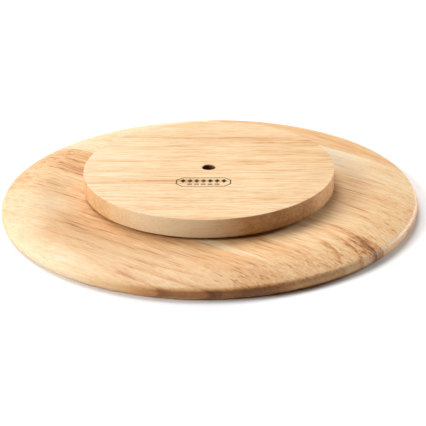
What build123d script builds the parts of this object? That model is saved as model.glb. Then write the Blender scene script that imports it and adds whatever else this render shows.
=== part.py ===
from build123d import *
import os
from math import cos, radians, sin

# Lazy susan turntable: a round wooden plate that turns on a smaller round wooden base.
#
# It lies face down, with its base on top. The origin is the centre of the serving face, and +Z points out
# of the base's resting face. For use it is turned over and stands on the base. Millimetres.
#
# The plate carries the pivot bolt. The base turns round that bolt and runs on a ring of steel balls, which
# a cage keeps apart, between two pressed steel races set into the wood.

# Serving plate
PLATE_RADIUS = 200.0
PLATE_THICKNESS = 19.0
PLATE_RIM_RADIUS = 6.0  # half-round edge
PLATE_SHOULDER_ANGLE = 20.3  # slope of the back where it meets the half-round edge, in degrees
PLATE_GRAIN_ANGLE = -38.6  # direction of the staves, in degrees from +X
PLATE_JOINTS = (-150.0, -100.0, -52.0, -1.5, 46.0, 98.0, 150.0)  # glue joints, across the grain

# Base
BASE_RADIUS = 120.0
BASE_THICKNESS = 18.0
BASE_EDGE_CHAMFER = 0.7
BASE_GRAIN_ANGLE = -2.8
BASE_JOINTS = (-99.5, -41.0, 17.5, 76.0)

# Ball race between plate and base
RACE_GAP = 3.0  # between the two wooden discs
BALL_RADIUS = 3.0
BALL_COUNT = 12
BALL_CIRCLE_RADIUS = 54.0
RACE_WIDTH = 24.0
RACE_SHEET = 1.2
RACE_CLEARANCE = 0.1  # between a ball and its groove
POCKET_CLEARANCE = 0.2  # between a pressed race and the pocket in the wood
CAGE_WIDTH = 10.0
CAGE_THICKNESS = 2.2
CAGE_CLEARANCE = 0.15

# Screws that hold the races
SCREW_COUNT = 4
SCREW_RADIUS = 1.4
SCREW_LENGTH = 10.0
SCREW_TIP = 2.5
SCREW_HEAD_RADIUS = 2.7
SCREW_HEAD_HEIGHT = 1.4
SCREW_RECESS = 0.7
SCREW_CLEARANCE = 0.1
SCREW_OFFSET = 8.0  # from the ball circle, outwards in the plate and inwards in the base

# Pivot
BOLT_RADIUS = 3.0
BOLT_HEAD_RADIUS = 5.25
BOLT_HEAD_HEIGHT = 3.3
BOLT_HEAD_ROUNDING = 2.4
BOLT_KEY_SIZE = 4.0  # across the flats of the hexagon socket
BOLT_KEY_DEPTH = 2.0
BOLT_THREAD_CLEARANCE = 0.05
INSERT_RADIUS = 4.5
INSERT_LENGTH = 12.0
INSERT_BARB_DEPTH = 0.5
INSERT_BARB_COUNT = 3
BUSH_RADIUS = 5.0
BUSH_BORE_RADIUS = 3.05
BUSH_FLANGE_RADIUS = 6.3
BUSH_FLANGE_THICKNESS = 1.0
WASHER_RADIUS = 6.0
WASHER_BORE_RADIUS = 3.2
WASHER_THICKNESS = 1.2
PIVOT_PLAY = 0.1  # up and down, between washer and bush
PRESS_CLEARANCE = 0.02
COUNTERBORE_RADIUS = 6.5
COUNTERBORE_DEPTH = 12.0
COUNTERBORE_CHAMFER = 0.5

# The plate's section: the back's curve is tangent to the flat back and to the half-round edge
SHOULDER = radians(PLATE_SHOULDER_ANGLE)
RIM_CENTRE = PLATE_RADIUS - PLATE_RIM_RADIUS
BACK_RISE = PLATE_THICKNESS - PLATE_RIM_RADIUS * (1 + cos(SHOULDER))
PLATE_BACK_RADIUS = BACK_RISE / (1 - cos(SHOULDER))
PLATE_FLAT_RADIUS = RIM_CENTRE - (PLATE_BACK_RADIUS - PLATE_RIM_RADIUS) * sin(SHOULDER)

# Heights that follow from the sizes above
PLATE_BACK = PLATE_THICKNESS
BASE_FACE = PLATE_BACK + RACE_GAP
HEIGHT = BASE_FACE + BASE_THICKNESS
BALL_HEIGHT = PLATE_BACK + RACE_GAP / 2
GROOVE_RADIUS = BALL_RADIUS + RACE_CLEARANCE
GROOVE_BACK_RADIUS = GROOVE_RADIUS + RACE_SHEET
COUNTERBORE_FLOOR = HEIGHT - COUNTERBORE_DEPTH
BUSH_TOP = COUNTERBORE_FLOOR + BUSH_FLANGE_THICKNESS
WASHER_SEAT = BUSH_TOP + PIVOT_PLAY
BOLT_HEAD_SEAT = WASHER_SEAT + WASHER_THICKNESS

# The two facing surfaces, each with its normal towards the balls
PLATE_SIDE = Plane(origin=(0, 0, PLATE_BACK), x_dir=(1, 0, 0), z_dir=(0, 0, 1))
BASE_SIDE = Plane(origin=(0, 0, BASE_FACE), x_dir=(1, 0, 0), z_dir=(0, 0, -1))
PLATE_SCREW_CIRCLE = BALL_CIRCLE_RADIUS + SCREW_OFFSET
BASE_SCREW_CIRCLE = BALL_CIRCLE_RADIUS - SCREW_OFFSET

SAW_MARGIN = 5.0  # how far the tool that saws out a stave reaches past the disc
STANDING = (Align.CENTER, Align.CENTER, Align.MIN)
HANGING = (Align.CENTER, Align.CENTER, Align.MAX)


def cut_race_seat(side, screw_circle):
    """Cut the seat of a pressed race into a disc: a shallow ring, a deeper channel and the screw holes."""
    half_width = RACE_WIDTH / 2 + POCKET_CLEARANCE
    half_channel = GROOVE_BACK_RADIUS
    channel_depth = GROOVE_BACK_RADIUS - RACE_GAP / 2 + POCKET_CLEARANCE
    for half, depth in ((half_width, RACE_SHEET), (half_channel, channel_depth)):
        with BuildSketch(side) as seat:
            Circle(BALL_CIRCLE_RADIUS + half)
            Circle(BALL_CIRCLE_RADIUS - half, mode=Mode.SUBTRACT)
        extrude(seat.sketch, amount=-depth, mode=Mode.SUBTRACT)
    with Locations(side):
        with PolarLocations(screw_circle, SCREW_COUNT):
            Hole(SCREW_RADIUS, depth=SCREW_LENGTH)


def race_ring(side, screw_circle):
    """A pressed steel ring, flush with the wood, with a round groove for the balls."""
    section = Plane(origin=side.origin, x_dir=(1, 0, 0), z_dir=(0, -side.z_dir.Z, 0))
    with BuildPart() as ring:
        with BuildSketch(section):
            with Locations((BALL_CIRCLE_RADIUS, -RACE_SHEET / 2)):
                Rectangle(RACE_WIDTH, RACE_SHEET)
            with Locations((BALL_CIRCLE_RADIUS, RACE_GAP / 2)):
                Circle(GROOVE_BACK_RADIUS)
            with Locations((BALL_CIRCLE_RADIUS, GROOVE_BACK_RADIUS)):
                Rectangle(RACE_WIDTH, 2 * GROOVE_BACK_RADIUS, mode=Mode.SUBTRACT)
            with Locations((BALL_CIRCLE_RADIUS, RACE_GAP / 2)):
                Circle(GROOVE_RADIUS, mode=Mode.SUBTRACT)
        revolve(axis=Axis.Z)
        with Locations(side):
            with PolarLocations(screw_circle, SCREW_COUNT):
                Hole(SCREW_RADIUS + SCREW_CLEARANCE, depth=2 * RACE_SHEET)
    return ring


def race_screws(side, screw_circle):
    """The small pan-head wood screws of one race, each with a crossed recess."""
    with BuildPart() as screws:
        with Locations(side):
            with PolarLocations(screw_circle, SCREW_COUNT):
                Cylinder(SCREW_HEAD_RADIUS, SCREW_HEAD_HEIGHT, align=STANDING)
        head_top = side.origin.Z + side.z_dir.Z * SCREW_HEAD_HEIGHT
        head_edges = screws.edges().filter_by_position(Axis.Z, head_top - 0.01, head_top + 0.01)
        fillet(head_edges, radius=SCREW_HEAD_HEIGHT / 2)
        with Locations(side.offset(SCREW_HEAD_HEIGHT)):
            with PolarLocations(screw_circle, SCREW_COUNT):
                recess_length = 1.1 * SCREW_HEAD_RADIUS
                recess_width = recess_length / 5
                Box(recess_length, recess_width, SCREW_RECESS, align=HANGING, mode=Mode.SUBTRACT)
                Box(recess_width, recess_length, SCREW_RECESS, align=HANGING, mode=Mode.SUBTRACT)
        with Locations(side):
            with PolarLocations(screw_circle, SCREW_COUNT):
                Cylinder(SCREW_RADIUS - SCREW_CLEARANCE, SCREW_LENGTH - SCREW_TIP, align=HANGING)
        with Locations(side.offset(SCREW_TIP - SCREW_LENGTH)):
            with PolarLocations(screw_circle, SCREW_COUNT):
                Cone(0.2, SCREW_RADIUS - SCREW_CLEARANCE, SCREW_TIP, align=HANGING)
    return screws


def export_staves(disc, radius, grain_angle, joints, prefix):
    """Saw a disc into its edge-glued staves, numbered across the grain from the -Y side."""
    limits = [-radius - SAW_MARGIN, *joints, radius + SAW_MARGIN]
    for number, (low, high) in enumerate(zip(limits, limits[1:]), start=1):
        with BuildPart() as stave:
            add(disc.part)
            with BuildSketch(Plane.XY.rotated((0, 0, grain_angle))):
                with Locations((0, (low + high) / 2)):
                    Rectangle(2 * radius + 2 * SAW_MARGIN, high - low)
            extrude(amount=HEIGHT + SAW_MARGIN, mode=Mode.INTERSECT)
        stave.part.label = f"{prefix}_{number}"
        export_step(stave.part, f"parts/{prefix}_{number}.step")


os.makedirs("parts", exist_ok=True)

# Serving plate: flat serving face, half-round edge, then a soft curve up to the flat back
with BuildPart() as plate_disc:
    with BuildSketch(Plane.XZ):
        with BuildLine():
            Line((0, 0), (RIM_CENTRE, 0))
            CenterArc(
                (RIM_CENTRE, PLATE_RIM_RADIUS), PLATE_RIM_RADIUS, -90, 180 - PLATE_SHOULDER_ANGLE
            )
            CenterArc(
                (PLATE_FLAT_RADIUS, PLATE_THICKNESS - PLATE_BACK_RADIUS),
                PLATE_BACK_RADIUS,
                90 - PLATE_SHOULDER_ANGLE,
                PLATE_SHOULDER_ANGLE,
            )
            Line((PLATE_FLAT_RADIUS, PLATE_THICKNESS), (0, PLATE_THICKNESS))
            Line((0, PLATE_THICKNESS), (0, 0))
        make_face()
    revolve(axis=Axis.Z)
    cut_race_seat(PLATE_SIDE, PLATE_SCREW_CIRCLE)
    with Locations(PLATE_SIDE):
        Hole(INSERT_RADIUS + PRESS_CLEARANCE, depth=INSERT_LENGTH + 1)
export_staves(plate_disc, PLATE_RADIUS, PLATE_GRAIN_ANGLE, PLATE_JOINTS, "plate_stave")

# Base: a plain disc, bored for the bush and counterbored for the bolt's head
with BuildPart() as base_disc:
    with BuildSketch(Plane.XY.offset(BASE_FACE)):
        Circle(BASE_RADIUS)
    extrude(amount=BASE_THICKNESS)
    chamfer(base_disc.edges().filter_by(GeomType.CIRCLE), length=BASE_EDGE_CHAMFER)
    cut_race_seat(BASE_SIDE, BASE_SCREW_CIRCLE)
    with Locations(Plane.XY.offset(HEIGHT)):
        CounterBoreHole(BUSH_RADIUS + PRESS_CLEARANCE, COUNTERBORE_RADIUS, COUNTERBORE_DEPTH)
    hole_mouth = base_disc.edges().group_by(Axis.Z)[-1].sort_by(SortBy.RADIUS)[0]
    chamfer(hole_mouth, length=COUNTERBORE_CHAMFER)
export_staves(base_disc, BASE_RADIUS, BASE_GRAIN_ANGLE, BASE_JOINTS, "base_stave")

# Pressed steel races and their screws
plate_race_ring = race_ring(PLATE_SIDE, PLATE_SCREW_CIRCLE)
plate_race_ring.part.label = "plate_race_ring"
export_step(plate_race_ring.part, "parts/plate_race_ring.step")

base_race_ring = race_ring(BASE_SIDE, BASE_SCREW_CIRCLE)
base_race_ring.part.label = "base_race_ring"
export_step(base_race_ring.part, "parts/base_race_ring.step")

plate_race_screws = race_screws(PLATE_SIDE, PLATE_SCREW_CIRCLE)
plate_race_screws.part.label = "plate_race_screws"
export_step(plate_race_screws.part, "parts/plate_race_screws.step")

base_race_screws = race_screws(BASE_SIDE, BASE_SCREW_CIRCLE)
base_race_screws.part.label = "base_race_screws"
export_step(base_race_screws.part, "parts/base_race_screws.step")

# Balls and the cage that keeps them apart
for number in range(BALL_COUNT):
    turn = radians(360 * number / BALL_COUNT)
    with BuildPart() as ball:
        ball_x = BALL_CIRCLE_RADIUS * cos(turn)
        ball_y = BALL_CIRCLE_RADIUS * sin(turn)
        with Locations((ball_x, ball_y, BALL_HEIGHT)):
            Sphere(BALL_RADIUS)
    ball.part.label = f"ball_{number + 1}"
    export_step(ball.part, f"parts/ball_{number + 1}.step")

with BuildPart() as ball_cage:
    with BuildSketch(Plane.XY.offset(BALL_HEIGHT)):
        Circle(BALL_CIRCLE_RADIUS + CAGE_WIDTH / 2)
        Circle(BALL_CIRCLE_RADIUS - CAGE_WIDTH / 2, mode=Mode.SUBTRACT)
        with PolarLocations(BALL_CIRCLE_RADIUS, BALL_COUNT):
            Circle(BALL_RADIUS + CAGE_CLEARANCE, mode=Mode.SUBTRACT)
    extrude(amount=CAGE_THICKNESS / 2, both=True)
ball_cage.part.label = "ball_cage"
export_step(ball_cage.part, "parts/ball_cage.step")

# Pivot: a bolt screwed into the plate's insert, turning in the base's flanged bush
with BuildPart() as threaded_insert:
    with Locations(PLATE_SIDE):
        Cylinder(INSERT_RADIUS, INSERT_LENGTH, align=HANGING)
    barb_pitch = INSERT_LENGTH / (INSERT_BARB_COUNT + 1)
    for barb in range(1, INSERT_BARB_COUNT + 1):
        with BuildSketch(PLATE_SIDE.offset(-barb * barb_pitch)):
            Circle(INSERT_RADIUS)
            Circle(INSERT_RADIUS - INSERT_BARB_DEPTH, mode=Mode.SUBTRACT)
        extrude(amount=2 * INSERT_BARB_DEPTH, mode=Mode.SUBTRACT)
    with Locations(PLATE_SIDE):
        Hole(BOLT_RADIUS, depth=INSERT_LENGTH)
threaded_insert.part.label = "threaded_insert"
export_step(threaded_insert.part, "parts/threaded_insert.step")

with BuildPart() as pivot_bolt:
    with Locations((0, 0, BOLT_HEAD_SEAT)):
        Cylinder(BOLT_HEAD_RADIUS, BOLT_HEAD_HEIGHT, align=STANDING)
    fillet(pivot_bolt.edges().group_by(Axis.Z)[-1], radius=BOLT_HEAD_ROUNDING)
    with BuildSketch(Plane.XY.offset(BOLT_HEAD_SEAT + BOLT_HEAD_HEIGHT)):
        RegularPolygon(BOLT_KEY_SIZE / 2, 6, major_radius=False)
    extrude(amount=-BOLT_KEY_DEPTH, mode=Mode.SUBTRACT)
    with Locations((0, 0, BOLT_HEAD_SEAT)):
        Cylinder(BOLT_RADIUS, BOLT_HEAD_SEAT - PLATE_BACK, align=HANGING)
    with Locations((0, 0, PLATE_BACK)):
        Cylinder(BOLT_RADIUS - BOLT_THREAD_CLEARANCE, INSERT_LENGTH - 1, align=HANGING)
    chamfer(pivot_bolt.edges().group_by(Axis.Z)[0], length=0.6)
pivot_bolt.part.label = "pivot_bolt"
export_step(pivot_bolt.part, "parts/pivot_bolt.step")

with BuildPart() as pivot_washer:
    with Locations((0, 0, WASHER_SEAT)):
        Cylinder(WASHER_RADIUS, WASHER_THICKNESS, align=STANDING)
    with Locations((0, 0, BOLT_HEAD_SEAT)):
        Hole(WASHER_BORE_RADIUS, depth=WASHER_THICKNESS)
pivot_washer.part.label = "pivot_washer"
export_step(pivot_washer.part, "parts/pivot_washer.step")

with BuildPart() as pivot_bush:
    with Locations((0, 0, BASE_FACE)):
        Cylinder(BUSH_RADIUS, COUNTERBORE_FLOOR - BASE_FACE, align=STANDING)
    with Locations((0, 0, COUNTERBORE_FLOOR)):
        Cylinder(BUSH_FLANGE_RADIUS, BUSH_FLANGE_THICKNESS, align=STANDING)
    with Locations((0, 0, BUSH_TOP)):
        Hole(BUSH_BORE_RADIUS, depth=BUSH_TOP - BASE_FACE)
pivot_bush.part.label = "pivot_bush"
export_step(pivot_bush.part, "parts/pivot_bush.step")
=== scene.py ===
"""Lazy susan turntable lying face down: the looks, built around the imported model. Metres, row frame.

The CAD staves are replaced by finely turned ones, sawn from the same section along the same joints. The metal
and plastic pieces stay as they are and get their materials here.
"""

from math import cos, pi, radians, sin

import bmesh
import bpy
from mathutils import Matrix, Vector


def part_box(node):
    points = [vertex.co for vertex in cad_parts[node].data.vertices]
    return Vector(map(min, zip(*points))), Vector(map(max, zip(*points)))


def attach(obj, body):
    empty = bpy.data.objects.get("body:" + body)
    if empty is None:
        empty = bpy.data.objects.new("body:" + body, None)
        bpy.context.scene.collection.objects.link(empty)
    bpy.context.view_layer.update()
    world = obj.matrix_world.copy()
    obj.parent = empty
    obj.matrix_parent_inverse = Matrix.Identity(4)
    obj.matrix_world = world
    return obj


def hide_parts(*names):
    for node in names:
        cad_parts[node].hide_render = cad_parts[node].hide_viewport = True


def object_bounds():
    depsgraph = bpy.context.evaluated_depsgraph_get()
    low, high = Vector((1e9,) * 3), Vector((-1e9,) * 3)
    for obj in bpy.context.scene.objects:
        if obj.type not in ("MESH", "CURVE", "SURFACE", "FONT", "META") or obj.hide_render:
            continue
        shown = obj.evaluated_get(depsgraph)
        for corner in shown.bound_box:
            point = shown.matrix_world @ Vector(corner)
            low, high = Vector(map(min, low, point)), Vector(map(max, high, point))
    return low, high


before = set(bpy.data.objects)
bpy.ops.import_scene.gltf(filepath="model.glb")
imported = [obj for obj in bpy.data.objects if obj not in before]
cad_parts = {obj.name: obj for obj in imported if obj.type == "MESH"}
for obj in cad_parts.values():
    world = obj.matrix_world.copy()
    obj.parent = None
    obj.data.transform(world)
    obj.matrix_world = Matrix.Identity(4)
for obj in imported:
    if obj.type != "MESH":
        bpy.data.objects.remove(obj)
cad_low, cad_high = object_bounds()
MM = 0.001

# The staves: direction of the grain in degrees from +X, and the glue joints across it in millimetres
PLATE_GRAIN = -38.6
PLATE_JOINTS = (-150, -100, -52, -1.5, 46, 98, 150)
BASE_GRAIN = -2.8
BASE_JOINTS = (-99.5, -41, 17.5, 76)

# Sections of the two discs, in millimetres
RIM_RADIUS = 6.0
SHOULDER = radians(20.3)
BASE_EDGE = 0.7
RACE_RADIUS = 66.0
RACE_WIDTH = 24.0
RACE_SHEET = 1.2
RACE_CHANNEL_DEPTH = 3.0
RACE_CHANNEL_HALF = 4.3
POCKET_CLEARANCE = 0.2
INSERT_HOLE_DEPTH = 13.0
PRESS_CLEARANCE = 0.02
BUSH_RADIUS = 5.0
BUSH_FLANGE = 1.0
MOUTH_CHAMFER = 0.5
COUNTERBORE_RADIUS = 6.5
AROUND = 384  # points round a turned disc
SHARP_ANGLE = radians(32)  # edges steeper than this stay sharp

# Camera: it looks along +Y, from the front and above
CAMERA_ELEVATION = radians(24.0)
CAMERA_DISTANCE = 1.545
CAMERA_TARGET = Vector((0, 0, 0.0112))
CAMERA_AIM_RIGHT = 0.0032
CAMERA_AIM_DOWN = 0.0179
CAMERA_ROLL = radians(-1.06)
CAMERA_LENS = 135.1


# ---------------------------------------------------------------- turned and sawn wood


def arc(centre, radius, start, end, steps):
    """Points of an arc in the section plane, angles in radians from the outward direction."""
    angles = (start + (end - start) * step / steps for step in range(steps + 1))
    return [(centre[0] + radius * cos(a), centre[1] + radius * sin(a)) for a in angles]


def race_seat(face, depth_sign, ring_low, ring_high):
    """The section's corners where a pressed race is let in, from the outside inwards."""
    middle = (ring_low + ring_high) / 2
    shallow = face - depth_sign * RACE_SHEET
    deep = face - depth_sign * RACE_CHANNEL_DEPTH
    outer, inner = ring_high + POCKET_CLEARANCE, ring_low - POCKET_CLEARANCE
    channel_outer, channel_inner = middle + RACE_CHANNEL_HALF, middle - RACE_CHANNEL_HALF
    return [
        (outer, face),
        (outer, shallow),
        (channel_outer, shallow),
        (channel_outer, deep),
        (channel_inner, deep),
        (channel_inner, shallow),
        (inner, shallow),
        (inner, face),
    ]


def plate_section(radius, thickness, ring, hole):
    """Half the plate's section: serving face, half-round edge, soft curve, flat back, seats and hole."""
    rim_centre = radius - RIM_RADIUS
    rise = thickness - RIM_RADIUS * (1 + cos(SHOULDER))
    back_radius = rise / (1 - cos(SHOULDER))
    flat_radius = rim_centre - (back_radius - RIM_RADIUS) * sin(SHOULDER)
    turn = pi / 2 - SHOULDER
    edge = arc((rim_centre, RIM_RADIUS), RIM_RADIUS, -pi / 2, turn, 30)
    back = arc((flat_radius, thickness - back_radius), back_radius, turn, pi / 2, 24)
    seat = race_seat(thickness, 1, *ring)
    bore = [(hole, thickness), (hole, thickness - INSERT_HOLE_DEPTH), (0, thickness - INSERT_HOLE_DEPTH)]
    return [(0, 0), (rim_centre / 2, 0), *edge, *back[1:], *seat, *bore]


def base_section(radius, low, high, ring, bush_radius, floor):
    """Half the base's section: race side, rounded outer edges, resting face and stepped hole."""
    edge_low = arc((radius - BASE_EDGE, low + BASE_EDGE), BASE_EDGE, -pi / 2, 0, 6)
    edge_high = arc((radius - BASE_EDGE, high - BASE_EDGE), BASE_EDGE, 0, pi / 2, 6)
    mouth = [
        (COUNTERBORE_RADIUS + MOUTH_CHAMFER, high),
        (COUNTERBORE_RADIUS, high - MOUTH_CHAMFER),
        (COUNTERBORE_RADIUS, floor),
        (bush_radius, floor),
        (bush_radius, low),
    ]
    seat = race_seat(low, -1, *ring)[::-1]
    return [*seat, *edge_low, *edge_high, *mouth]


def turned(section):
    """A closed solid of revolution about Z, as a bmesh in metres."""
    solid = bmesh.new()
    rings = []
    for r, z in section:
        if r == 0:
            rings.append([solid.verts.new((0, 0, z * MM))] * AROUND)
            continue
        turns = (2 * pi * step / AROUND for step in range(AROUND))
        rings.append([solid.verts.new((r * cos(t) * MM, r * sin(t) * MM, z * MM)) for t in turns])
    closed = section[0][0] != 0
    pairs = list(zip(rings, rings[1:]))
    if closed:
        pairs.append((rings[-1], rings[0]))
    for lower, upper in pairs:
        for here in range(AROUND):
            after = (here + 1) % AROUND
            corners = [lower[here], lower[after], upper[after], upper[here]]
            solid.faces.new(list(dict.fromkeys(corners)))
    bmesh.ops.recalc_face_normals(solid, faces=solid.faces)
    return solid


def saw(solid, across, position, keep_above):
    """Cut a solid by an upright plane, keep one side and close the cut."""
    geometry = [*solid.verts, *solid.edges, *solid.faces]
    cut = bmesh.ops.bisect_plane(
        solid,
        geom=geometry,
        dist=1e-7,
        plane_co=across * position * MM,
        plane_no=across,
        clear_inner=keep_above,
        clear_outer=not keep_above,
    )
    edges = [item for item in cut["geom_cut"] if isinstance(item, bmesh.types.BMEdge)]
    bmesh.ops.triangle_fill(solid, edges=edges, use_beauty=True, use_dissolve=True)


def stave_piece(name, solid, grain, low, high, body):
    """One stave sawn from a copy of the turned disc, standing for the CAD stave of the same name."""
    across = Vector((-sin(radians(grain)), cos(radians(grain)), 0))
    part = solid.copy()
    if low is not None:
        saw(part, across, low, True)
    if high is not None:
        saw(part, across, high, False)
    bmesh.ops.recalc_face_normals(part, faces=part.faces)
    mesh = bpy.data.meshes.new(name)
    part.to_mesh(mesh)
    part.free()
    mesh.shade_smooth()
    mesh.set_sharp_from_angle(angle=SHARP_ANGLE)
    piece = bpy.data.objects.new("turned_" + name, mesh)
    bpy.context.scene.collection.objects.link(piece)
    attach(piece, body)
    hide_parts(name)
    return piece


# ---------------------------------------------------------------- node helpers


class Graph:
    """A short way to write a material's nodes."""

    def __init__(self, name):
        self.material = bpy.data.materials.new(name)
        self.material.use_nodes = True
        self.tree = self.material.node_tree
        self.shader = self.tree.nodes["Principled BSDF"]
        self.object = self.tree.nodes.new("ShaderNodeTexCoord").outputs["Object"]

    def node(self, kind, inputs=(), **settings):
        made = self.tree.nodes.new("ShaderNode" + kind)
        for key, value in settings.items():
            setattr(made, key, value)
        for key, value in dict(inputs).items():
            self.put(made.inputs[key], value)
        return made

    def put(self, socket, value):
        if isinstance(value, bpy.types.NodeSocket):
            self.tree.links.new(value, socket)
        else:
            socket.default_value = value

    def math(self, operation, *values, clamp=False):
        made = self.node("Math", enumerate(values), operation=operation, use_clamp=clamp)
        return made.outputs[0]

    def scaled(self, vector, scale):
        return self.node("VectorMath", {0: vector, 1: scale}, operation="MULTIPLY").outputs[0]

    def noise(self, vector, scale, detail=2.0, rough=0.5, seed=0.0):
        moved = self.node("VectorMath", {0: self.scaled(vector, scale), 1: (seed, 1.7 * seed, 2.3 * seed)})
        inputs = {"Vector": moved.outputs[0], "Scale": 1.0, "Detail": detail, "Roughness": rough}
        return self.node("TexNoise", inputs).outputs["Fac"]

    def remap(self, value, low, high, to_low=0.0, to_high=1.0, smooth=True):
        kind = "SMOOTHSTEP" if smooth else "LINEAR"
        names = ("Value", "From Min", "From Max", "To Min", "To Max")
        inputs = dict(zip(names, (value, low, high, to_low, to_high)))
        return self.node("MapRange", inputs, interpolation_type=kind).outputs["Result"]

    def ramp(self, value, stops):
        made = self.node("ValToRGB", {"Fac": value})
        elements = made.color_ramp.elements
        for index, (position, colour) in enumerate(stops):
            if index >= 2:
                elements.new(position)
            elements[index].position = position
        for element, (position, colour) in zip(elements, stops):
            element.color = (*colour, 1)
        return made.outputs["Color"]

    def mix(self, factor, first, second):
        made = self.node("Mix", data_type="RGBA", blend_type="MIX")
        for index, value in ((0, factor), (6, first), (7, second)):
            self.put(made.inputs[index], value if not isinstance(value, tuple) else (*value, 1)[:4])
        return made.outputs[2]

    def bump(self, height, distance):
        inputs = {"Height": height, "Distance": distance, "Strength": 1.0}
        self.put(self.shader.inputs["Normal"], self.node("Bump", inputs).outputs["Normal"])

    def finish(self, **values):
        for key, value in values.items():
            self.put(self.shader.inputs[key.replace("_", " ")], value)
        return self.material


def srgb(red, green, blue):
    """A colour given as 0-255 display values, in the renderer's linear values."""
    channels = (value / 255 for value in (red, green, blue))
    return tuple(c / 12.92 if c <= 0.04045 else ((c + 0.055) / 1.055) ** 2.4 for c in channels)


# ---------------------------------------------------------------- wood

# The figure's layers: noise scale along and across the grain (per millimetre), detail, roughness, shift of the seed
FIGURE_LAYERS = {
    "bands": (0.007, 0.060, 2.0, 0.5, 0),
    "streaks": (0.012, 0.27, 2.0, 0.6, 11),
    "dashes": (0.045, 0.62, 2.0, 0.65, 17),
    "fine": (0.10, 2.6, 1.0, 0.5, 23),
}
CALM_ON_EDGES = 0.42  # how much of the figure is left where the face is steep


def wood(name, grain, limits, look, seed, mark=None):
    """One stave's wood, solid all through: rings about a pith line, bands, streaks and pores along the grain, with
    painted shade and painted light on the steep faces.
    """
    g = Graph(name)
    axis = {"Axis": (0, 0, 1), "Angle": -radians(grain)}
    spun = g.node("VectorRotate", {"Vector": g.object, **axis}, rotation_type="AXIS_ANGLE")
    place = g.scaled(spun.outputs[0], (1000, 1000, 1000))
    along, across, up = g.node("SeparateXYZ", {0: place}).outputs
    wander = g.noise(place, (0.007, 0.02, 0.02), 2.0, 0.5, seed + 3)
    drift = g.math("MULTIPLY_ADD", wander, look["wander"], -look["wander"] / 2)
    drifted = g.math("ADD", across, drift)
    bent = g.node("CombineXYZ", {0: along, 1: drifted, 2: up}).outputs[0]

    from_pith = g.math("ADD", drifted, -look["pith"][0])
    above_pith = g.math("ADD", up, -look["pith"][1])
    squares = g.math("ADD", g.math("POWER", from_pith, 2.0), g.math("POWER", above_pith, 2.0))
    ring_phase = g.math("FRACT", g.math("DIVIDE", g.math("SQRT", squares), look["ring"]))
    rings = g.math("MULTIPLY", g.math("POWER", ring_phase, 2.0), g.remap(ring_phase, 0.85, 1.0, 1.0, 0.0))

    facing = g.tree.nodes.new("ShaderNodeTexCoord").outputs["Normal"]
    facing = g.node("VectorRotate", {"Vector": facing, **axis}, rotation_type="AXIS_ANGLE").outputs[0]
    end_face, _, flat_face = g.node("SeparateXYZ", {0: facing}).outputs
    end_grain = g.remap(g.math("ABSOLUTE", end_face), 0.25, 1.0)
    steep = g.remap(g.math("ABSOLUTE", flat_face), 0.3, 0.97, 1.0, 0.0)

    layers = {
        kind: g.noise(bent, (lengthways, crossways, crossways), detail, rough, seed + shift)
        for kind, (lengthways, crossways, detail, rough, shift) in FIGURE_LAYERS.items()
    }
    lines = g.remap(g.noise(bent, (0.022, 0.52, 0.52), 2.0, 0.55, seed + 41), 0.54, 0.70)
    figure = g.math("MULTIPLY", lines, look["lines"])
    figure = g.math("MULTIPLY_ADD", g.math("SUBTRACT", rings, 0.2), look["rings"], figure)
    for kind, layer in layers.items():
        figure = g.math("MULTIPLY_ADD", g.math("SUBTRACT", layer, 0.5), look[kind], figure)
    calm = g.remap(steep, 0.0, 1.0, 1.0, CALM_ON_EDGES)
    tone = g.math("MULTIPLY_ADD", figure, calm, look["tone"])
    for cloud in look["clouds"]:
        tone = g.math("ADD", tone, clouded(g, along, drifted, *cloud))
    for arches in look["arches"]:
        tone = g.math("ADD", tone, arched(g, along, drifted, *arches))
    # Painted shade: every steep face is darkened by the steep value, and the side clouds then add painted shade and
    # painted light.
    painted_edge_shading = look["steep"]
    # The side clouds: painted shade and painted light on the sides and rim.
    for cloud in look["side_clouds"]:
        painted_edge_shading = g.math("ADD", painted_edge_shading, clouded(g, along, drifted, *cloud))
    tone = g.math("MULTIPLY_ADD", end_grain, look["end_grain"], tone)
    tone = g.math("MULTIPLY_ADD", steep, painted_edge_shading, tone)

    colour = g.ramp(g.math("MULTIPLY", tone, 1 / RAMP_SPAN, clamp=True), look["ramp"])
    pores = g.remap(g.noise(bent, (0.085, 1.5, 1.5), 1.0, 0.6, seed + 31), 0.58, 0.74)
    colour = g.mix(g.math("MULTIPLY", pores, look["pores"]), colour, look["pore_colour"])
    for limit, strength in zip(limits, look["glue"]):
        if limit is not None and strength:
            off = g.math("ABSOLUTE", g.math("ADD", across, -limit))
            line = g.math("MULTIPLY", g.remap(off, 0.2, 1.1, strength, 0.0), g.math("SUBTRACT", 1.0, steep))
            colour = g.mix(line, colour, GLUE_COLOUR)
    height = g.math("MULTIPLY_ADD", layers["fine"], 0.5, g.math("MULTIPLY", pores, -1.0))
    roughness = g.remap(layers["dashes"], 0.2, 0.8, 0.47, 0.59, smooth=False)
    shine = 0.45
    if mark:
        burned, sunk = mark(g, place)
        colour = g.mix(burned, colour, BURN_COLOUR)
        shine = g.math("MULTIPLY_ADD", burned, -0.42, shine)
        height = g.math("MULTIPLY_ADD", sunk, -3.0, height)
        colour = g.mix(hole_wall_darkening(g, place), colour, HOLE_WALL_COLOUR)
    g.bump(height, 0.00006)
    return g.finish(Base_Color=colour, Roughness=roughness, Specular_IOR_Level=shine)


def clouded(g, along, across, x, y, half_x, half_y, amount):
    """A soft oval of darker tone (a negative amount for lighter): its middle, its half lengths and its strength."""
    off_x = g.math("POWER", g.math("MULTIPLY", g.math("ADD", along, -x), 1 / half_x), 2.0)
    off_y = g.math("POWER", g.math("MULTIPLY", g.math("ADD", across, -y), 1 / half_y), 2.0)
    return g.remap(g.math("ADD", off_x, off_y), 0.0, 1.0, amount, 0.0)


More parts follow.
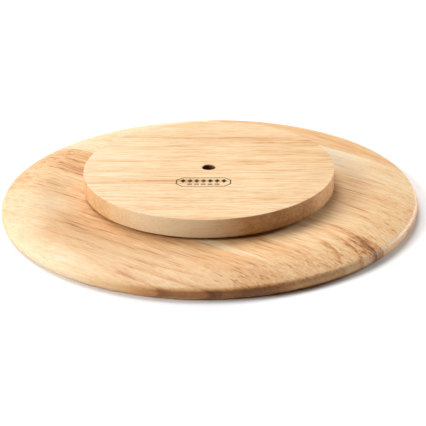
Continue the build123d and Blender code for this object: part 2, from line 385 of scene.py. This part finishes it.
def arched(g, along, across, x, y, stretch, spacing, low, high, amount):
    """Nested arches ahead of a point, as where the rings run out of the face: spacing and reach across the grain."""
    ahead = g.math("MULTIPLY", g.math("ADD", along, -x), 1 / stretch)
    squares = g.math("ADD", g.math("POWER", ahead, 2.0), g.math("POWER", g.math("ADD", across, -y), 2.0))
    away = g.math("SQRT", squares)
    phase = g.math("FRACT", g.math("DIVIDE", away, spacing))
    line = g.math("MULTIPLY", g.math("POWER", phase, 3.0), g.remap(phase, 0.86, 1.0, 1.0, 0.0))
    reach = g.math("MULTIPLY", g.remap(away, low, low + 8.0), g.remap(away, high - 8.0, high, 1.0, 0.0))
    reach = g.math("MULTIPLY", reach, g.remap(ahead, 0.0, 12.0))
    return g.math("MULTIPLY", g.math("MULTIPLY", line, reach), amount)


def hole_wall_darkening(g, place):
    """Where the centre hole's wall is: darker towards the bottom over its top two millimetres."""
    x, y, z = g.node("SeparateXYZ", {0: place}).outputs
    away = g.math("SQRT", g.math("ADD", g.math("POWER", x, 2.0), g.math("POWER", y, 2.0)))
    inside = g.remap(away, COUNTERBORE_RADIUS + 0.1, COUNTERBORE_RADIUS + 0.6, 1.0, 0.0)
    below = g.remap(z, cad_high.z / MM - 2.0, cad_high.z / MM - 0.3, 0.9, 0.1)
    return g.math("MULTIPLY", inside, below)


HOLE_WALL_COLOUR = srgb(74, 46, 30)
GLUE_COLOUR = srgb(176, 118, 70)
BURN_COLOUR = srgb(44, 28, 20)
MARK_CENTRE = (-3.5, -35.7)  # along and across the base's grain, in millimetres
MARK_HALF = (26.0, 10.5)


def burned_mark(g, place):
    """A made-up maker's ornament burned into the base: a notched frame round lozenges and dashes."""
    local = g.node("VectorMath", {0: place, 1: (-MARK_CENTRE[0], -MARK_CENTRE[1], 0)}).outputs[0]
    parts = g.node("SeparateXYZ", {0: local})
    x, y = g.math("ABSOLUTE", parts.outputs[0]), parts.outputs[1]
    tall = g.math("ABSOLUTE", y)
    sides = g.math("MAXIMUM", g.math("ADD", x, -MARK_HALF[0]), g.math("ADD", tall, -MARK_HALF[1]))
    corner = g.math("MULTIPLY", g.math("ADD", g.math("ADD", x, tall), -MARK_HALF[0] - MARK_HALF[1] + 6.0), 0.707)
    outline = g.math("ABSOLUTE", g.math("ADD", g.math("MAXIMUM", sides, corner), 0.6))
    frame_line = g.remap(outline, 0.35, 0.75, 1.0, 0.0)
    cell = g.math("ABSOLUTE", g.math("ADD", g.math("MODULO", g.math("ADD", x, 3.2), 6.4), -3.2))
    leaf = g.math("ADD", g.math("DIVIDE", cell, 3.0), g.math("DIVIDE", g.math("ABSOLUTE", g.math("ADD", y, -2.6)), 4.4))
    leaves = g.math("MULTIPLY", g.remap(leaf, 0.8, 1.1, 1.0, 0.0), g.math("LESS_THAN", x, 22.0))
    dash = g.math("MAXIMUM", g.math("ADD", cell, -2.2), g.math("ADD", g.math("ABSOLUTE", g.math("ADD", y, 5.0)), -1.1))
    dashes = g.math("MULTIPLY", g.remap(dash, -0.2, 0.3, 1.0, 0.0), g.math("LESS_THAN", x, 16.0))
    shape = g.math("MAXIMUM", frame_line, g.math("MAXIMUM", leaves, dashes))
    top = g.math("GREATER_THAN", g.node("SeparateXYZ", {0: place}).outputs[2], (cad_high.z - 0.0002) / MM)
    patchy = g.remap(g.noise(place, (0.35, 0.35, 0.35), 2.0, 0.6, 5.0), 0.25, 0.6, 0.75, 1.0)
    shape = g.math("MULTIPLY", shape, top)
    return g.math("MULTIPLY", shape, patchy), shape


def shown(*display):
    """The wood colour that shows as this display value on a face that the studio light falls on squarely."""
    return tuple(channel * WOOD_EXPOSURE for channel in srgb(*display))


def wood_ramp(*colours):
    """The colours of one kind of wood at the tones 0, 0.3, 0.6, 0.8, 1 and RAMP_SPAN."""
    tones = (0.0, 0.3, 0.6, 0.8, 1.0, RAMP_SPAN)
    return tuple((tone / RAMP_SPAN, shown(*colour)) for tone, colour in zip(tones, colours))


WOOD_EXPOSURE = 0.77
RAMP_SPAN = 1.3
CREAM_RAMP = wood_ramp(
    (255, 235, 202), (253, 221, 176), (243, 198, 145), (224, 168, 108), (186, 126, 72), (118, 70, 38)
)
TAN_RAMP = wood_ramp(
    (255, 230, 190), (250, 211, 160), (236, 182, 124), (212, 148, 88), (174, 114, 64), (114, 70, 38)
)


def look(ramp, **changes):
    """A stave's look: the common values, with what this stave has of its own."""
    values = {
        "ramp": ramp,
        "tone": 0.38,
        "bands": 0.5,
        "streaks": 0.45,
        "dashes": 0.45,
        "fine": 0.25,
        "lines": 0.12,
        "rings": 0.0,
        "ring": 3.0,
        "pith": (30.0, -90.0),
        "wander": 6.0,
        "clouds": (),
        "side_clouds": (),
        "arches": (),
        "end_grain": 0.22,
        # steep: painted shade, how much darker every steep face is
        "steep": 0.16,
        "pores": 0.4,
        "pore_colour": shown(190, 130, 82),
        "glue": (0.0, 0.0),
    }
    return {**values, **changes}


# Clouds of darker or lighter tone: along the grain, across it, half length, half width, change of tone. Most are the
# wood's own patches; the second cloud of plate stave 7 is partly painted light.
# The side clouds do the same only where the face is steep: they are painted shade on the sides and rim that the lamps
# leave dark, and painted light on the lit ones. Arches are as in arched().
PLATE_LOOKS = (
    look(
        TAN_RAMP,
        tone=0.38,
        fine=0.5,
        rings=0.10,
        pith=(-150.0, -110.0),
        clouds=((-30, -150, 60, 34, 0.12), (-110, -160, 50, 40, -0.3), (-50, -195, 90, 24, -0.25)),
        arches=((20, -120, 2.6, 11.0, 22, 72, 0.4),),
        side_clouds=((130, -160, 100, 70, 0.36), (-30, -185, 100, 40, -0.3)),
    ),
    look(
        TAN_RAMP,
        tone=0.40,
        dashes=0.7,
        fine=0.5,
        rings=0.06,
        pith=(-135.0, -110.0),
        lines=0.35,
        clouds=((-10, -122, 95, 45, 0.22), (-130, -135, 70, 60, -0.20), (130, -118, 75, 30, 0.16)),
        side_clouds=((125, -130, 60, 70, 0.34), (195, -110, 60, 60, -0.1), (-140, -130, 80, 60, -0.14)),
    ),
    look(
        TAN_RAMP,
        tone=0.42,
        streaks=0.7,
        dashes=1.1,
        fine=0.6,
        lines=0.32,
        clouds=(
            (-45, -75, 75, 60, 0.2),
            (60, -98, 100, 9, -0.36),
            (140, -80, 60, 40, 0.08),
            (-140, -80, 60, 60, -0.06),
        ),
        side_clouds=((185, -75, 60, 50, -0.2),),
    ),
    look(
        TAN_RAMP,
        tone=0.40,
        streaks=0.7,
        dashes=1.1,
        fine=0.6,
        lines=0.32,
        clouds=((-125, -20, 75, 50, 0.26), (187, -12, 20, 20, 0.36)),
        side_clouds=((197, -40, 40, 40, -0.4),),
        arches=((140, -60, 1.74, 15.0, 18, 78, 0.55),),
    ),
    look(
        TAN_RAMP,
        tone=0.38,
        streaks=0.6,
        dashes=0.7,
        fine=0.4,
        lines=0.4,
        clouds=((-175, 20, 60, 50, -0.35),),
        side_clouds=((200, 15, 40, 40, -0.3),),
    ),
    look(TAN_RAMP, tone=0.38, streaks=0.6, dashes=0.7, fine=0.4, lines=0.4, clouds=((-160, 80, 90, 60, -0.35),)),
    look(
        CREAM_RAMP,
        tone=0.40,
        streaks=0.6,
        lines=0.3,
        # The second cloud is partly the wood's lighter patch and partly painted light on the plate just behind the
        # base, where the base shades it from the left lamp.
        clouds=((-150, 125, 110, 60, -0.25), (15, 135, 90, 60, -0.36)),
    ),
    look(TAN_RAMP, tone=0.48, lines=0.25),
)
BASE_LOOKS = (
    look(
        CREAM_RAMP,
        tone=0.40,
        bands=0.7,
        streaks=0.8,
        dashes=0.9,
        side_clouds=((72, -115, 66, 60, 0.26), (-28, -110, 72, 60, -0.38)),
    ),
    look(
        CREAM_RAMP,
        tone=0.42,
        bands=0.7,
        streaks=0.8,
        dashes=1.0,
        fine=0.5,
        lines=0.2,
        pores=0.6,
        clouds=((-100, -60, 70, 60, -0.12),),
        side_clouds=((72, -100, 46, 60, 0.17), (-62, -100, 34, 60, -0.24)),
    ),
    look(
        CREAM_RAMP,
        tone=0.43,
        bands=0.7,
        streaks=0.8,
        dashes=0.9,
        fine=0.4,
        lines=0.25,
        clouds=((-105, 0, 70, 60, -0.15), (90, 20, 80, 60, 0.1)),
    ),
    look(
        CREAM_RAMP,
        tone=0.43,
        bands=0.7,
        streaks=0.8,
        dashes=0.9,
        fine=0.4,
        lines=0.25,
        clouds=((-95, 30, 70, 60, -0.15), (90, 40, 80, 60, 0.1)),
    ),
    look(CREAM_RAMP, tone=0.40, bands=0.7, dashes=0.9, fine=0.4, lines=0.2, glue=(1.0, 0)),
)


# ---------------------------------------------------------------- metal and plastic


def metal(name, colour, roughness, brushed):
    """Bare or plated metal: fine scratches stretched by brushed, and a little uneven gloss."""
    g = Graph(name)
    scratches = g.noise(g.object, brushed, 3.0, 0.6, 2.0)
    cloud = g.noise(g.object, (160, 160, 160), 2.0, 0.5, 7.0)
    shade = g.remap(cloud, 0.3, 0.7, 0.0, 0.35)
    tint = g.mix(shade, colour, tuple(0.72 * c for c in colour))
    g.bump(scratches, 0.000015)
    rough = g.remap(scratches, 0.2, 0.8, roughness - 0.06, roughness + 0.10, smooth=False)
    return g.finish(Base_Color=tint, Roughness=rough, Metallic=1.0)


def plastic(name, colour, roughness):
    """Moulded plastic: a faint grain and slightly uneven colour."""
    g = Graph(name)
    grain = g.noise(g.object, (2500, 2500, 2500), 1.0, 0.5, 3.0)
    cloud = g.noise(g.object, (120, 120, 120), 2.0, 0.5, 9.0)
    tint = g.mix(g.remap(cloud, 0.3, 0.7, 0.0, 0.3), colour, tuple(0.85 * c for c in colour))
    g.bump(grain, 0.00002)
    return g.finish(Base_Color=tint, Roughness=roughness, Specular_IOR_Level=0.45)


def give(node, material):
    """Put a material on every slot of a CAD node."""
    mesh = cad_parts[node].data
    mesh.materials.clear()
    mesh.materials.append(material)


# ---------------------------------------------------------------- the object


def staves(prefix, body, section, grain, joints, looks):
    """All the staves of one disc."""
    solid = turned(section)
    limits = [None, *joints, None]
    for index, (low, high) in enumerate(zip(limits, limits[1:])):
        name = f"{prefix}_{index + 1}"
        piece = stave_piece(name, solid, grain, low, high, body)
        mark = burned_mark if name in ("base_stave_2", "base_stave_3") else None
        seed = 17.3 * (index + 1) + len(prefix)
        piece.data.materials.append(wood(name, grain, (low, high), looks[index], seed, mark))
    solid.free()


def outer_radius(node):
    """A round node's outer radius in millimetres."""
    low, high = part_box(node)
    return (high.x - low.x) / 2 / MM


def build_wood():
    plate_radius = max(cad_high.x - cad_low.x, cad_high.y - cad_low.y) / 2 / MM
    plate_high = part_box("plate_stave_4")[1]
    base_low, base_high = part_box("base_stave_3")
    ring = (RACE_RADIUS - RACE_WIDTH, RACE_RADIUS)
    insert_hole = outer_radius("threaded_insert") + PRESS_CLEARANCE
    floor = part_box("pivot_bush")[1].z / MM - BUSH_FLANGE
    section = plate_section(plate_radius, plate_high.z / MM, ring, insert_hole)
    staves("plate_stave", "plate", section, PLATE_GRAIN, PLATE_JOINTS, PLATE_LOOKS)
    base_radius = (base_high.x - base_low.x) / 2 / MM
    section = base_section(base_radius, base_low.z / MM, base_high.z / MM, ring, BUSH_RADIUS + PRESS_CLEARANCE, floor)
    staves("base_stave", "base", section, BASE_GRAIN, BASE_JOINTS, BASE_LOOKS)


def build_fittings():
    race_steel = metal("race_steel", (0.56, 0.57, 0.58), 0.34, (60, 60, 3000))
    zinc = metal("zinc_plate", (0.60, 0.61, 0.62), 0.36, (900, 900, 200))
    ball_steel = metal("ball_steel", (0.78, 0.79, 0.80), 0.12, (500, 500, 500))
    brass = metal("brass", (0.72, 0.52, 0.22), 0.32, (80, 80, 2500))
    nylon = plastic("nylon", srgb(232, 229, 218), 0.5)
    cage = plastic("cage_plastic", srgb(214, 214, 208), 0.48)
    for node in ("plate_race_ring", "base_race_ring"):
        give(node, race_steel)
    for node in ("plate_race_screws", "base_race_screws", "pivot_bolt", "pivot_washer"):
        give(node, zinc)
    give("threaded_insert", brass)
    give("pivot_bush", nylon)
    give("ball_cage", cage)
    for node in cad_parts:
        if node.startswith("ball_") and node != "ball_cage":
            give(node, ball_steel)


# ---------------------------------------------------------------- studio

FLOOR_HALF = 6.0
FLOOR_DROP = 0.0001  # keeps the floor clear of the face that lies on it
WORLD_LIGHT = 0.02  # the white background's strength for all but camera rays


def floor():
    mesh = bpy.data.meshes.new("floor")
    corners = [(x * FLOOR_HALF, y * FLOOR_HALF, 0) for x, y in ((-1, -1), (1, -1), (1, 1), (-1, 1))]
    mesh.from_pydata(corners, [], [(0, 1, 2, 3)])
    plane = bpy.data.objects.new("floor", mesh)
    plane.location.z = cad_low.z - FLOOR_DROP
    bpy.context.scene.collection.objects.link(plane)
    g = Graph("floor_paper")
    tooth = g.noise(g.object, (400, 400, 400), 2.0)
    mesh.materials.append(
        g.finish(
            Base_Color=g.mix(tooth, (0.86, 0.86, 0.865), (0.89, 0.89, 0.895)),
            Roughness=0.9,
            Specular_IOR_Level=0.1,
        )
    )


def sun(name, towards, strength, softness, colour):
    """A large soft light far away, in the direction towards; softness is its angular size in degrees."""
    light = bpy.data.lights.new(name, "SUN")
    light.energy = strength
    light.angle = radians(softness)
    light.color = colour
    lamp = bpy.data.objects.new(name, light)
    lamp.rotation_euler = Vector(towards).to_track_quat("Z", "Y").to_euler()
    bpy.context.scene.collection.objects.link(lamp)


def studio():
    scene = bpy.context.scene
    scene.view_settings.view_transform = "Standard"
    world = bpy.data.worlds.new("studio")
    scene.world = world
    world.use_nodes = True
    nodes, links = world.node_tree.nodes, world.node_tree.links
    background = nodes["Background"]
    background.inputs["Color"].default_value = (1, 1, 1, 1)
    path = nodes.new("ShaderNodeLightPath")
    seen = nodes.new("ShaderNodeMapRange")
    links.new(path.outputs["Is Camera Ray"], seen.inputs["Value"])
    seen.inputs["To Min"].default_value = WORLD_LIGHT
    seen.inputs["To Max"].default_value = 1.0
    links.new(seen.outputs["Result"], background.inputs["Strength"])
    sun("overhead", (-0.34, 0.62, 1.0), 2.7, 40, (1.0, 0.995, 0.985))
    sun("from_left", (-0.88, -0.15, 0.45), 3.2, 34, (1.0, 0.99, 0.97))
    sun("from_right", (0.78, 0.56, 0.22), 3.1, 20, (1.0, 0.995, 0.985))


def camera():
    data = bpy.data.cameras.new("camera")
    data.lens = CAMERA_LENS
    data.clip_start, data.clip_end = 0.1, 30
    eye = bpy.data.objects.new("camera", data)
    bpy.context.scene.collection.objects.link(eye)
    back = Vector((0, -cos(CAMERA_ELEVATION), sin(CAMERA_ELEVATION)))
    up = Vector((0, sin(CAMERA_ELEVATION), cos(CAMERA_ELEVATION)))
    right = Vector((1, 0, 0))
    place = CAMERA_TARGET + back * CAMERA_DISTANCE
    aim = CAMERA_TARGET + right * CAMERA_AIM_RIGHT - up * CAMERA_AIM_DOWN
    turn = (aim - place).to_track_quat("-Z", "Y").to_matrix() @ Matrix.Rotation(CAMERA_ROLL, 3, "Z")
    eye.matrix_world = Matrix.Translation(place) @ turn.to_4x4()
    bpy.context.scene.camera = eye


build_wood()
build_fittings()
floor()
studio()
camera()
